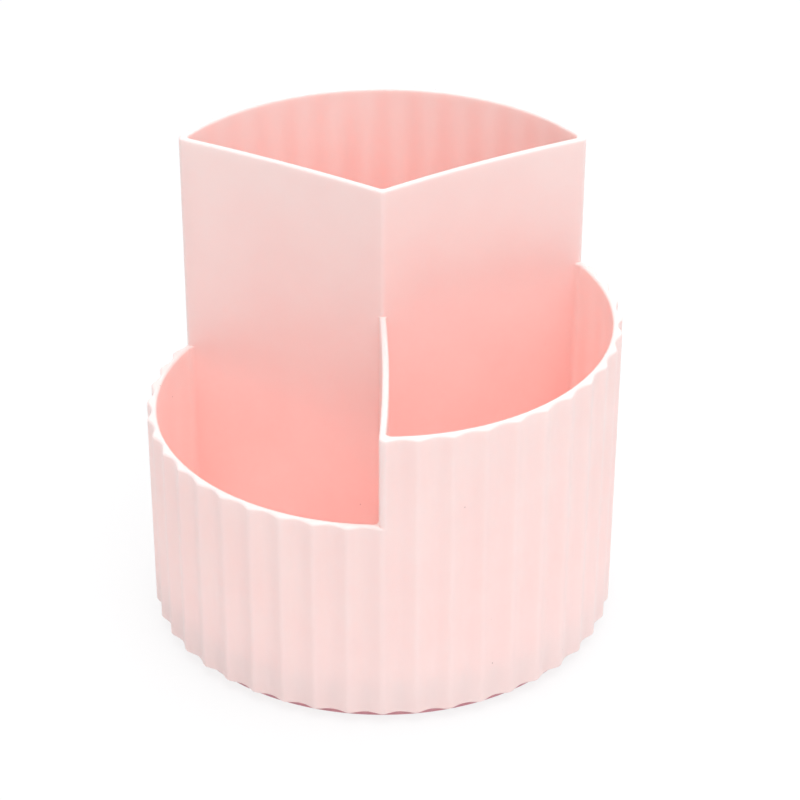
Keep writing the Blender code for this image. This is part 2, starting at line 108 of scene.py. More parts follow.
def bend(centre, radius, start, end, steps=4):
    """A round stretch of a half section, as (radius, height), with its turns in degrees."""
    turns = [math.radians(start + (end - start) * step / steps) for step in range(steps + 1)]
    return [(centre[0] + radius * math.cos(turn), centre[1] + radius * math.sin(turn)) for turn in turns]


def spin_section(name, section, steps, closed):
    """A turned piece: its half section drawn point by point as a wire, then spun round the upright axis."""
    (radius, height), rest = section[0], section[1:] + (section[:1] if closed else [])
    piece = start_piece(name, bpy.ops.mesh.primitive_plane_add, size=BASE_FILLET,
                        location=(radius, 0, height))
    bpy.ops.object.mode_set(mode="EDIT")
    bpy.ops.mesh.select_mode(type="VERT")
    bpy.ops.mesh.merge(type="CENTER")
    for next_radius, next_height in rest:
        step = (next_radius - radius, 0, next_height - height)
        bpy.ops.mesh.extrude_vertices_move(TRANSFORM_OT_translate={"value": step})
        radius, height = next_radius, next_height
    bpy.ops.mesh.select_all(action="SELECT")
    bpy.ops.mesh.remove_doubles(threshold=MERGE_DISTANCE)
    bpy.ops.mesh.spin(steps=steps, angle=math.tau, center=(0, 0, 0), axis=(0, 0, 1))
    bpy.ops.mesh.select_all(action="SELECT")
    bpy.ops.mesh.remove_doubles(threshold=MERGE_DISTANCE)
    bpy.ops.mesh.normals_make_consistent(inside=False)
    bpy.ops.object.mode_set(mode="OBJECT")
    return piece


def cut_out(piece, cutter):
    """Takes the cutter's space out of the piece, then throws the cutter away."""
    modifier = piece.modifiers.new("Cut", "BOOLEAN")
    modifier.object = cutter
    bpy.ops.object.select_all(action="DESELECT")
    bpy.context.view_layer.objects.active = piece
    piece.select_set(True)
    bpy.ops.object.modifier_apply(modifier=modifier.name)
    bpy.data.objects.remove(cutter, do_unlink=True)


def track_groove(height, above):
    """The groove that the balls run in, inner lip to outer lip, under or over the balls' middle."""
    lip = math.degrees(math.asin(abs(ball_z - height) / GROOVE_RADIUS))
    if above:
        return bend((TRACK_RADIUS, ball_z), GROOVE_RADIUS, 180 - lip, lip, GROOVE_STEPS)
    return bend((TRACK_RADIUS, ball_z), GROOVE_RADIUS, 180 + lip, 360 - lip, GROOVE_STEPS)


def base_section():
    """The base plate's section, from the rim's top edge down its outer side and back over the top."""
    fillet, edge, half = BASE_FILLET, TRACK_EDGE, TRACK_WIDTH / 2
    rim_top, flange_top = base_z + RIM_HEIGHT, base_z + FLANGE_THICKNESS
    web_under, web_top = base_z + WEB_RISE, base_z + WEB_RISE + WEB_THICKNESS
    step_in, step_out = base_radius - FLANGE_WIDTH, base_radius - FLANGE_WIDTH + WEB_THICKNESS
    rim_inner, collar_outer = base_radius - RIM_WALL, COLLAR_BORE + COLLAR_WALL
    track_z = cage_low.z - TRACK_CLEARANCE
    track_in, track_out = TRACK_RADIUS - half, TRACK_RADIUS + half
    return [
        *bend((base_radius - RIM_TOP_ROUND, rim_top - RIM_TOP_ROUND), RIM_TOP_ROUND, 90, 0),
        *bend((base_radius - BASE_EDGE_ROUND, base_z + BASE_EDGE_ROUND), BASE_EDGE_ROUND, 0, -90,
              FINE_STEPS),
        *bend((step_in + fillet, base_z + fillet), fillet, -90, -180),
        *bend((step_in - fillet, web_under - fillet), fillet, 0, 90),
        (COLLAR_BORE + edge, web_under), (COLLAR_BORE, web_under + edge),
        (COLLAR_BORE, collar_top_z - edge), (COLLAR_BORE + edge, collar_top_z),
        (collar_outer - edge, collar_top_z), (collar_outer, collar_top_z - edge),
        *bend((collar_outer + fillet, web_top + fillet), fillet, 180, 270),
        *bend((track_in - fillet, web_top + fillet), fillet, -90, 0),
        (track_in, track_z - edge), (track_in + edge, track_z),
        *track_groove(track_z, False),
        (track_out - edge, track_z), (track_out, track_z - edge),
        *bend((track_out + fillet, web_top + fillet), fillet, 180, 270),
        *bend((step_out - fillet, web_top - fillet), fillet, 90, 0),
        *bend((step_out + fillet, flange_top + fillet), fillet, 180, 270),
        *bend((rim_inner - fillet, flange_top + fillet), fillet, -90, 0),
        *bend((rim_inner + RIM_TOP_ROUND, rim_top - RIM_TOP_ROUND), RIM_TOP_ROUND, 180, 90),
    ]


def linear(colour):
    """An sRGB hex colour as linear light, with its alpha."""
    channels = [int(colour[place:place + 2], 16) / 255 for place in (1, 3, 5)]
    return [*(value / 12.92 if value <= 0.04045 else ((value + 0.055) / 1.055) ** 2.4
              for value in channels), 1]


def add_node(tree, kind, values=(), links=(), **settings):
    """Adds a node with its settings, the values of its sockets, and what feeds them."""
    node = tree.nodes.new(kind)
    for name, value in settings.items():
        setattr(node, name, value)
    for socket, value in dict(values).items():
        node.inputs[socket].default_value = value
    for socket, source in dict(links).items():
        tree.links.new(source, node.inputs[socket])
    return node


def start_material(name, **values):
    """A new material: its tree, its shader with these values, and the piece's own coordinates."""
    material = bpy.data.materials.new(name)
    material.use_nodes = True
    tree = material.node_tree
    shader = tree.nodes["Principled BSDF"]
    for socket, value in values.items():
        shader.inputs[socket.replace("_", " ")].default_value = value
    return material, tree, shader, add_node(tree, "ShaderNodeTexCoord").outputs["Object"]


# The stretch of its values that a noise texture mostly keeps to
NOISE_LOW, NOISE_HIGH = 0.3, 0.7


def spread(tree, source, lowest, highest, low=NOISE_LOW, high=NOISE_HIGH):
    """A pattern's values, spread over the range from lowest to highest."""
    return add_node(tree, "ShaderNodeMapRange",
                    {"From Min": low, "From Max": high, "To Min": lowest, "To Max": highest},
                    {"Value": source}).outputs["Result"]


def moulded_skin(tree, shader, place, tones, cloud_size, grain_size, grain_height, gloss):
    """Moulded plastic: the grain that the mould's spark-eroded steel leaves, and its clouded colour."""
    cloud = add_node(tree, "ShaderNodeTexNoise", {"Scale": 1 / cloud_size, "Detail": 3, "Roughness": 0.55},
                     {"Vector": place})
    tone = add_node(tree, "ShaderNodeValToRGB", {}, {"Fac": cloud.outputs["Fac"]})
    for element, colour, spot in zip(tone.color_ramp.elements, tones, (NOISE_LOW, NOISE_HIGH)):
        element.color, element.position = linear(colour), spot
    grain = add_node(tree, "ShaderNodeTexNoise", {"Scale": 1 / grain_size, "Detail": 2, "Roughness": 0.5},
                     {"Vector": place}).outputs["Fac"]
    relief = add_node(tree, "ShaderNodeBump", {"Strength": 0.5, "Distance": grain_height}, {"Height": grain})
    tree.links.new(spread(tree, grain, *gloss), shader.inputs["Roughness"])
    tree.links.new(relief.outputs["Normal"], shader.inputs["Normal"])
    return tone.outputs["Color"]


# Moulded polypropylene in dusty rose: satin, slightly waxy, a touch duller than the cup.
rose_plastic, tree, shader, place = start_material("moulded polypropylene, dusty rose", IOR=1.49,
                                                   Subsurface_Weight=0.15, Subsurface_Scale=0.002)
colour = moulded_skin(tree, shader, place, tones=("#D99BA4", "#DEA2AA"), cloud_size=0.014,
                      grain_size=0.00035, grain_height=0.00002, gloss=(0.42, 0.52))
tree.links.new(colour, shader.inputs["Base Color"])

base = spin_section("base_plate_moulding", base_section(), BASE_STEPS, closed=True)
pad_boxes = {number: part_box(f"foot_pad_{number}") for number in range(1, PAD_COUNT + 1)}
for pad_low, pad_high in pad_boxes.values():
    middle = (pad_low + pad_high) / 2
    recess = start_piece("recess", bpy.ops.mesh.primitive_cylinder_add, vertices=RECESS_STEPS,
                         radius=PAD_RECESS_RADIUS, depth=2 * PAD_RECESS_DEPTH,
                         location=(middle.x, middle.y, base_z))
    cut_out(base, recess)
finish_piece(base, rose_plastic)
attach(base, "base")
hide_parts("base_plate")


# Foot pads
# Four soft rubber discs pressed and glued into recesses under the flange. Each stands half a millimetre
# proud, with rounded edges and a shallow dish that grips the table.
PAD_STEPS = 64
PAD_EDGE = 0.00025
PAD_EDGE_STEPS = 3
PAD_DISH_MARGIN = 0.0010
PAD_DISH_DEPTH = 0.00012

# The upright part of a face's normal from which the face counts as level
LEVEL_SHARE = 0.99


def pick(piece, kind, test):
    """Opens the piece for editing with only the faces or edges that pass the test selected."""
    bpy.ops.object.mode_set(mode="EDIT")
    bpy.ops.mesh.select_mode(type=kind)
    bpy.ops.mesh.select_all(action="DESELECT")
    bpy.ops.object.mode_set(mode="OBJECT")
    if kind == "FACE":
        for face in piece.data.polygons:
            face.select = test(face.center, face.normal)
    else:
        points = piece.data.vertices
        for edge in piece.data.edges:
            edge.select = test(*(points[index].co for index in edge.vertices))
    bpy.ops.object.mode_set(mode="EDIT")


# Grey thermoplastic rubber: matt and slightly clear, so it scatters light just under its skin.
pad_rubber, tree, shader, place = start_material("moulded thermoplastic rubber, grey", IOR=1.51,
                                                 Subsurface_Weight=0.2, Subsurface_Scale=0.001)
colour = moulded_skin(tree, shader, place, tones=("#BDBBB6", "#C6C4C0"), cloud_size=0.003,
                      grain_size=0.0002, grain_height=0.00003, gloss=(0.6, 0.75))
tree.links.new(colour, shader.inputs["Base Color"])

for number, (pad_low, pad_high) in pad_boxes.items():
    middle, half_height = (pad_low + pad_high) / 2, (pad_high.z - pad_low.z) / 2
    pad_radius = (pad_high.x - pad_low.x) / 2
    pad = start_piece(f"rubber_foot_{number}", bpy.ops.mesh.primitive_cylinder_add, vertices=PAD_STEPS,
                      radius=pad_radius, depth=2 * half_height, location=middle)
    pick(pad, "EDGE", lambda first, second: first.z * second.z > 0)
    bpy.ops.mesh.bevel(offset=PAD_EDGE, segments=PAD_EDGE_STEPS)
    pick(pad, "FACE", lambda centre, normal: normal.z < -LEVEL_SHARE)
    bpy.ops.mesh.inset(thickness=PAD_DISH_MARGIN)
    bpy.ops.mesh.inset(thickness=PAD_DISH_MARGIN / 2, depth=-PAD_DISH_DEPTH)
    finish_piece(pad, pad_rubber)
    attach(pad, "base")
    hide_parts(f"foot_pad_{number}")


# Ball cage
# A flat ring moulded in natural acetal, with a round pocket for each ball. It floats between the two
# tracks and keeps the balls apart.
CAGE_EDGE = 0.0003
CAGE_EDGE_STEPS = 3
CAGE_STEPS = 144
POCKET_STEPS = 48
BALL_COUNT = 12
cage_outer = cage_high.x
cage_inner = 2 * TRACK_RADIUS - cage_outer


def cage_section():
    """The ring's section, a flat bar with eased corners."""
    ease, steps = CAGE_EDGE, CAGE_EDGE_STEPS
    return [
        *bend((cage_outer - ease, cage_high.z - ease), ease, 90, 0, steps),
        *bend((cage_outer - ease, cage_low.z + ease), ease, 0, -90, steps),
        *bend((cage_inner + ease, cage_low.z + ease), ease, -90, -180, steps),
        *bend((cage_inner + ease, cage_high.z - ease), ease, 180, 90, steps),
    ]


# Natural acetal: dense, milky, smooth and slippery, with a soft gloss.
acetal, tree, shader, place = start_material("moulded acetal, natural", IOR=1.48, Subsurface_Weight=0.25,
                                             Subsurface_Scale=0.002)
colour = moulded_skin(tree, shader, place, tones=("#EEECE3", "#F3F1EA"), cloud_size=0.008,
                      grain_size=0.0003, grain_height=0.00001, gloss=(0.32, 0.42))
tree.links.new(colour, shader.inputs["Base Color"])

cage = spin_section("acetal_ball_cage", cage_section(), CAGE_STEPS, closed=True)
ball_boxes = {number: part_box(f"ball_{number:02d}") for number in range(1, BALL_COUNT + 1)}
for low, high in ball_boxes.values():
    middle = (low + high) / 2
    pocket = start_piece("pocket", bpy.ops.mesh.primitive_cylinder_add, vertices=POCKET_STEPS,
                         radius=GROOVE_RADIUS, depth=2 * (cage_high.z - cage_low.z),
                         location=(middle.x, middle.y, ball_z))
    cut_out(cage, pocket)
finish_piece(cage, acetal)
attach(cage, "cage")
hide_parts("ball_cage")


# Balls
# Twelve 5 mm bearing balls, ground and polished from chrome steel. They carry the cup's floor and roll
# round with the cage.
BALL_CUTS = 7
OIL_FILM_SIZE = 0.0012


def metal_skin(tree, shader, pattern, tones, shine):
    """Metal whose tint follows a fine pattern, with this roughness."""
    tint = add_node(tree, "ShaderNodeValToRGB", {}, {"Fac": pattern})
    for element, colour in zip(tint.color_ramp.elements, tones):
        element.color = linear(colour)
    tree.links.new(tint.outputs["Color"], shader.inputs["Base Color"])
    tree.links.new(shine, shader.inputs["Roughness"])


# Chrome steel, lapped to a mirror, with a film of oil that breaks its gloss up faintly.
polished_steel, tree, shader, place = start_material("polished chrome steel", Metallic=1.0)
film = add_node(tree, "ShaderNodeTexNoise", {"Scale": 1 / OIL_FILM_SIZE, "Detail": 3},
                {"Vector": place}).outputs["Fac"]
metal_skin(tree, shader, film, tones=("#C2C3C5", "#D2D3D4"), shine=spread(tree, film, 0.08, 0.16))

for number, (low, high) in ball_boxes.items():
    middle = (low + high) / 2
    ball_radius = (high.z - low.z) / 2
    ball = start_piece(f"steel_ball_{number:02d}", bpy.ops.mesh.primitive_cube_add, size=2 * ball_radius,
                       location=(middle.x, middle.y, ball_z))
    bpy.ops.object.mode_set(mode="EDIT")
    bpy.ops.mesh.subdivide(number_cuts=BALL_CUTS)
    bpy.ops.transform.tosphere(value=1.0)
    bpy.ops.object.mode_set(mode="OBJECT")
    grown = max(point.co.length for point in ball.data.vertices)
    bpy.ops.object.mode_set(mode="EDIT")
    bpy.ops.mesh.select_all(action="SELECT")
    bpy.ops.transform.resize(value=[ball_radius / grown] * 3)
    finish_piece(ball, polished_steel, smooth=math.pi)
    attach(ball, "cage")
    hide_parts(f"ball_{number:02d}")


# Cup body
# One thin-walled moulding in pale pink polypropylene: a fluted wall that steps up from a low to a medium
# and a tall rim, three dividers that meet on the axis, a raised floor, and under it the skirt, the upper
# ball track and the boss.
cup_low, cup_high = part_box("cup_body")
cup_edge_z, tall_rim_z = cup_low.z, cup_high.z
MEDIUM_HEIGHT = 0.0830
LOW_HEIGHT = 0.0573
FLOOR_RISE = 0.0108
FLOOR_THICKNESS = 0.0018
FLUTE_COUNT = 44
FLUTE_DEPTH = 0.0012
ARRIS_RADIUS = 0.0616
WALL_DRAFT = 0.0096
WALL_THICKNESS = 0.0014
DIVIDER_THICKNESS = 0.0016
DIVIDER_DRAFT = 0.0020
RIGHT_WALL_BOW = 0.0013
LEFT_WALL_BOW = -0.0009
FRONT_WALL_BOW = 0.0008
WALL_CORNER_RADIUS = 0.0015
HUB_CORNER_RADIUS = 0.0010
TOWER_ROUND = 0.0012
RIM_ROUND = 0.00067
EDGE_ROUND = 0.0007
FLOOR_FILLET = 0.0009
DIVIDER_STEPS = 16
CORNER_STEPS = 6
POCKET_ARC_STEPS = 60
NOSE_STEPS = 8
RIM_STEPS = 5
TOUCH_DISTANCE = 0.0000005
HEIGHT_DIGITS = 8
QUARTER_TURN = math.pi / 2
THIRD_TURN = math.tau / 3
SIXTH_TURN = math.tau / 6
flute_pitch = math.tau / FLUTE_COUNT
skirt_radius = ARRIS_RADIUS - FLUTE_DEPTH - WALL_THICKNESS
floor_z = cup_edge_z + FLOOR_RISE
low_rim_z, medium_rim_z = cup_edge_z + LOW_HEIGHT, cup_edge_z + MEDIUM_HEIGHT
rim_heights = (low_rim_z, medium_rim_z, tall_rim_z)

# Shares of a flute: how far its arris is softened, where its points stand, which crowd towards the arris,
# and the room left free of them beside a step
ARRIS_SOFT_SHARE = 0.30
FLUTE_SHARES = (0, 0.03, 0.07, 0.13, 0.22, 0.33, 0.44, 0.56, 0.67, 0.78, 0.87, 0.93, 0.97)
STEP_SPARE_SHARE = 0.02

# How much of the room on a corner's arc a rim's rounding takes, and how far from a rounding the row of
# points runs that keeps its soft shading off the wall
RIM_FADE_SHARE = 0.6
HOLDING_GAP = 0.0003

# Each divider: the direction it runs from the hub, and how far its middle bows that way round
FRONT = (-QUARTER_TURN, FRONT_WALL_BOW)
RIGHT = (-QUARTER_TURN + THIRD_TURN, RIGHT_WALL_BOW)
LEFT = (-QUARTER_TURN + 2 * THIRD_TURN, LEFT_WALL_BOW)

# The top face of a rim starts a sixth of the way round it
TOP_START_PART = 6

# Each step in the rim: the divider face it lies along, which way round the higher wall lies, how far its
# upright corner is rounded, and the level of the rim below it
STEPS = {
    "low_end": {"divider": FRONT, "side": -1, "ahead": 1, "reach": 0.0018, "level": 0},
    "medium_end": {"divider": RIGHT, "side": -1, "ahead": 1, "reach": 0.0013, "level": 1},
    "tall_end": {"divider": LEFT, "side": 1, "ahead": -1, "reach": 0.0013, "level": 0},
}

# The rims round over and die into the higher walls beside them, which no bevel makes. So the mesh above
# the floor is laid out in plan, height by height, in mesh code, and the underside is spun and cut out.


def heading(angle):
    """A direction in plan."""
    return Vector((math.cos(angle), math.sin(angle)))


def inner_radius(height):
    """The outer wall's smooth inner face, which leans out by the mould's draft."""
    return skirt_radius + WALL_DRAFT * (height - cup_edge_z)


def from_arris(angle):
    """How far a direction lies from the nearest arris: 0 on it, 1 in the middle of a hollow."""
    place = ((angle + QUARTER_TURN) / flute_pitch) % 1.0
    return 2 * min(place, 1 - place)


def fluted_radius(angle, height):
    """The outer wall: a slightly softened arris every pitch, with a shallow hollow between."""
    soft = math.hypot(from_arris(angle), ARRIS_SOFT_SHARE) - ARRIS_SOFT_SHARE
    soft /= math.hypot(1, ARRIS_SOFT_SHARE) - ARRIS_SOFT_SHARE
    return ARRIS_RADIUS + WALL_DRAFT * (height - cup_edge_z) - FLUTE_DEPTH * soft * (2 - soft)


def outer_draw(angle, height):
    """How a point of the outer wall draws in as an edge rounds over: further where the flute slopes."""
    slope = 4 * FLUTE_DEPTH * (1 - from_arris(angle)) / (flute_pitch * fluted_radius(angle, height))
    return -heading(angle) * math.hypot(1, slope)


def divider_half(height):
    """Half a divider's thickness, which grows downwards by the mould's draft."""
    return DIVIDER_THICKNESS / 2 + DIVIDER_DRAFT * (tall_rim_z - height)


def divider_frame(divider, share, height):
    """A point on a divider's middle line, the way the line runs there, and the way across it."""
    angle, bow = divider
    reach = inner_radius(height)
    along, across = heading(angle), heading(angle + QUARTER_TURN)
    point = share * reach * along + 4 * bow * share * (1 - share) * across
    run = (along + 4 * bow * (1 - 2 * share) / reach * across).normalized()
    return point, run, Vector((-run.y, run.x))


def divider_face(divider, side, height):
    """Points on one face of a divider from near the hub to the inner wall."""
    points = []
    for step in range(1, DIVIDER_STEPS + 1):
        point, run, across = divider_frame(divider, step / DIVIDER_STEPS, height)
        points.append(point + side * divider_half(height) * across)
    points[-1] = points[-1].normalized() * inner_radius(height)
    return points


def faces_meet(first, first_side, second, second_side, height):
    """Where a face of one divider meets a face of the next, at the hub."""
    half = divider_half(height)
    start, run, across = divider_frame(first, 0, height)
    other_start, other_run, other_across = divider_frame(second, 0, height)
    start = start + first_side * half * across
    gap = other_start + second_side * half * other_across - start
    reach = (gap.x * other_run.y - gap.y * other_run.x) / (run.x * other_run.y - run.y * other_run.x)
    return start + reach * run


def round_corner(before, corner, after, radius):
    """An arc in place of a corner, touching both of the lines that meet there."""
    back = (before - corner).normalized()
    ahead = (after - corner).normalized()
    half_angle = back.angle(ahead) / 2
    setback = radius / math.tan(half_angle)
    middle = corner + (back + ahead).normalized() * radius / math.sin(half_angle)
    start = corner + back * setback - middle
    end = corner + ahead * setback - middle
    swing = start.angle_signed(end)
    points = []
    for step in range(CORNER_STEPS + 1):
        turned = -swing * step / CORNER_STEPS
        cosine, sine = math.cos(turned), math.sin(turned)
        spoke = (start.x * cosine - start.y * sine, start.x * sine + start.y * cosine)
        points.append(middle + Vector(spoke))
    return points


def pocket_parts(first, second, height):
    """A compartment's outline, anticlockwise from the hub, in the parts that other faces share."""
    out_face = divider_face(first, 1, height)
    back_face = divider_face(second, -1, height)
    hub = faces_meet(first, 1, second, -1, height)
    start = math.atan2(out_face[-1].y, out_face[-1].x)
    end = math.atan2(back_face[-1].y, back_face[-1].x)
    sweep = (end - start) % math.tau
    # The rounded corners take the first and the last steps of the wall's arc
    wall = [heading(start + sweep * step / POCKET_ARC_STEPS) * inner_radius(height)
            for step in range(2, POCKET_ARC_STEPS - 1)]
    return {
        "hub": round_corner(back_face[0], hub, out_face[0], HUB_CORNER_RADIUS),
        "out": out_face[:-1],
        "near": round_corner(out_face[-2], out_face[-1], wall[0], WALL_CORNER_RADIUS),
        "wall": wall,
        "far": round_corner(wall[-1], back_face[-1], back_face[-2], WALL_CORNER_RADIUS),
        "back": back_face[-2::-1],
    }


def nose_turns():
    """The turns of the points on a step's rounded upright corner."""
    return [QUARTER_TURN * place / NOSE_STEPS for place in range(NOSE_STEPS + 1)]


def step_foot(name, height):
    """Where a step leaves the outer wall, as a direction, and the way its end face runs in from there."""
    point, run, across = divider_frame(STEPS[name]["divider"], 1, height)
    corner = point + STEPS[name]["side"] * divider_half(height) * across
    leaves = corner + run * (WALL_THICKNESS + FLUTE_DEPTH / 2)
    return math.atan2(leaves.y, leaves.x), -run


def step_angles(name, height):
    """The directions of the outer wall's points under a step's rounded corner, from its end face on."""
    angle = step_foot(name, height)[0]
    reach = STEPS[name]["ahead"] * STEPS[name]["reach"]
    return [angle + reach / ARRIS_RADIUS * (1 - math.cos(turn)) for turn in nose_turns()]


@lru_cache(None)
def outer_columns():
    """The outer wall's points in order round it, each with a step's name and its place under the step."""
    columns = [(-QUARTER_TURN + flute_pitch * (flute + share), None, 0)
               for flute in range(FLUTE_COUNT) for share in FLUTE_SHARES]
    spare = STEP_SPARE_SHARE * flute_pitch
    for name in STEPS:
        angles = step_angles(name, medium_rim_z)
        middle, reach = (angles[0] + angles[-1]) / 2, abs(angles[-1] - angles[0]) / 2 + spare
        columns = [column for column in columns
                   if column[1] or abs((column[0] - middle + math.pi) % math.tau - math.pi) > reach]
        columns += [(angle, name, place) for place, angle in enumerate(angles)]
    return sorted(columns, key=lambda column: column[0] % math.tau)


@lru_cache(None)
def cup_plan(height):
    """Every point of the cup's plan at one height, by group."""
    plan = {}
    under_steps = {name: step_angles(name, height) for name in STEPS}
    for index, (angle, name, place) in enumerate(outer_columns()):
        if name:
            angle = under_steps[name][place]
        plan["outer", index] = heading(angle) * fluted_radius(angle, height)
    for name, step in STEPS.items():
        inward = step_foot(name, height)[1]
        wall = [heading(angle) * fluted_radius(angle, height) for angle in under_steps[name]]
        for place, turn in enumerate(nose_turns()[:-1]):
            chord = wall[0] + (wall[-1] - wall[0]) * (1 - math.cos(turn))
            depth = (chord - wall[place]).dot(inward) + step["reach"] * (1 - math.sin(turn))
            plan["nose", name, place] = wall[place] + inward * depth
    for pocket, pair in (("low", (LEFT, FRONT)), ("medium", (FRONT, RIGHT)), ("tall", (RIGHT, LEFT))):
        for part, points in pocket_parts(*pair, height).items():
            plan.update({(pocket, part, index): point for index, point in enumerate(points)})
    left, right = divider_face(LEFT, 1, height)[0], divider_face(RIGHT, -1, height)[0]
    front = faces_meet(LEFT, 1, RIGHT, -1, height)
    tower = round_corner(left, front, right, TOWER_ROUND)
    plan.update({("tower", index): point for index, point in enumerate(tower)})
    return plan


def keys_of(*group):
    """The keys of a group of the plan's points, in order."""
    return [key for key in cup_plan(tall_rim_z) if key[:len(group)] == group]


def outer_run(start, end):
    """The outer wall's keys from one to another, anticlockwise."""
    outer = keys_of("outer")
    count = (end - start) % len(outer)
    return [outer[(start + index) % len(outer)] for index in range(count + 1)]


def cup_regions():
    """The cup's plan as faces: each rim's region, and each compartment's floor."""
    columns = outer_columns()
    place = {(name, spot): index for index, (angle, name, spot) in enumerate(columns) if name}
    top = {name: place[name, NOSE_STEPS] for name in STEPS}
    part = {}
    for pocket in ("low", "medium", "tall"):
        for name in ("hub", "out", "near", "wall", "far", "back"):
            part[pocket, name] = keys_of(pocket, name)
    nose = {name: keys_of("nose", name) for name in STEPS}
    tower = keys_of("tower")
    back = min(range(len(columns)), key=lambda index: abs(columns[index][0] % math.tau - QUARTER_TURN))
    wall, hub = part["tall", "wall"], part["tall", "hub"]
    half_wall, half_hub, half_tower = len(wall) // 2, len(hub) // 2, len(tower) // 2

    low_rim = outer_run(top["tall_end"], top["low_end"]) + nose["low_end"][::-1]
    for name in ("far", "wall", "near"):
        low_rim += part["low", name][::-1]
    low_rim += nose["tall_end"]

    medium_rim = outer_run(top["low_end"], top["medium_end"]) + nose["medium_end"][::-1]
    for name in ("far", "wall", "near", "out", "hub"):
        medium_rim += part["medium", name][::-1]
    medium_rim += tower[::-1] + part["low", "hub"][::-1] + part["low", "back"][::-1]
    medium_rim += [part["low", "far"][-1]] + nose["low_end"]

    right_rim = outer_run(top["medium_end"], back) + wall[:half_wall + 1][::-1]
    right_rim += part["tall", "near"][::-1] + part["tall", "out"][::-1] + hub[half_hub:][::-1]
    right_rim += tower[half_tower:] + [part["medium", "hub"][0]]
    right_rim += part["medium", "back"][::-1] + [part["medium", "far"][-1]] + nose["medium_end"]

    left_rim = outer_run(back, top["tall_end"]) + nose["tall_end"][::-1] + [part["low", "near"][0]]
    left_rim += part["low", "out"][::-1] + [part["low", "hub"][-1]] + tower[:half_tower + 1]
    left_rim += hub[:half_hub + 1][::-1] + part["tall", "back"][::-1]
    left_rim += part["tall", "far"][::-1] + wall[half_wall:][::-1]

    floors = [sum((part[pocket, name] for name in ("hub", "out", "near", "wall", "far", "back")), [])
              for pocket in ("low", "medium", "tall")]
    return {"low": low_rim, "medium": medium_rim, "right": right_rim, "left": left_rim}, floors


def edges_round(region):
    """A region's edges, in order round it."""
    return list(zip(region, region[1:] + region[:1]))


def border(regions):
    """The directed edges that only one of the regions has."""
    edges = sum((edges_round(region) for region in regions), [])
    known = set(edges)
    return [edge for edge in edges if (edge[1], edge[0]) not in known]


def draws_along(edges, height):
    """How each point of an edge draws back as the edge rounds over: a share of the rounding."""
    plan = cup_plan(height)
    ahead = dict(edges)
    behind = {second: first for first, second in edges}
    draws = {}
    for key in ahead:
        if key in behind:
            run_in = (plan[key] - plan[behind[key]]).normalized()
            run_out = (plan[ahead[key]] - plan[key]).normalized()
            draws[key] = Vector((-run_in.y - run_out.y, run_in.x + run_out.x)) / (1 + run_in.dot(run_out))
        if key[0] == "outer" and outer_columns()[key[1]][1] is None:
            draws[key] = outer_draw(outer_columns()[key[1]][0], height)
    return draws


def fade(radius, sweep, step):
    """The most that a rim may draw back on a corner's arc, this many steps from a higher wall."""
    return RIM_FADE_SHARE * radius * (1 / math.cos(sweep * step / CORNER_STEPS) - 1)


def faded_points(level):
    """The rounding left at points of a rim where a corner's arc runs into a higher wall."""
    left = {}
    for step in range(CORNER_STEPS + 1):
        wall_round = fade(WALL_CORNER_RADIUS, QUARTER_TURN, step)
        hub_round = fade(HUB_CORNER_RADIUS, SIXTH_TURN, step)
        if level == 0:
            left["low", "near", step] = wall_round
            left["low", "far", CORNER_STEPS - step] = wall_round
        if level == 1:
            left["medium", "far", CORNER_STEPS - step] = wall_round
            left["medium", "hub", step] = hub_round
            left["low", "hub", CORNER_STEPS - step] = hub_round
    return left


def round_turns():
    """The turns of the points on a rounded edge, from the wall to the top."""
    return [QUARTER_TURN * step / RIM_STEPS for step in range(RIM_STEPS + 1)]


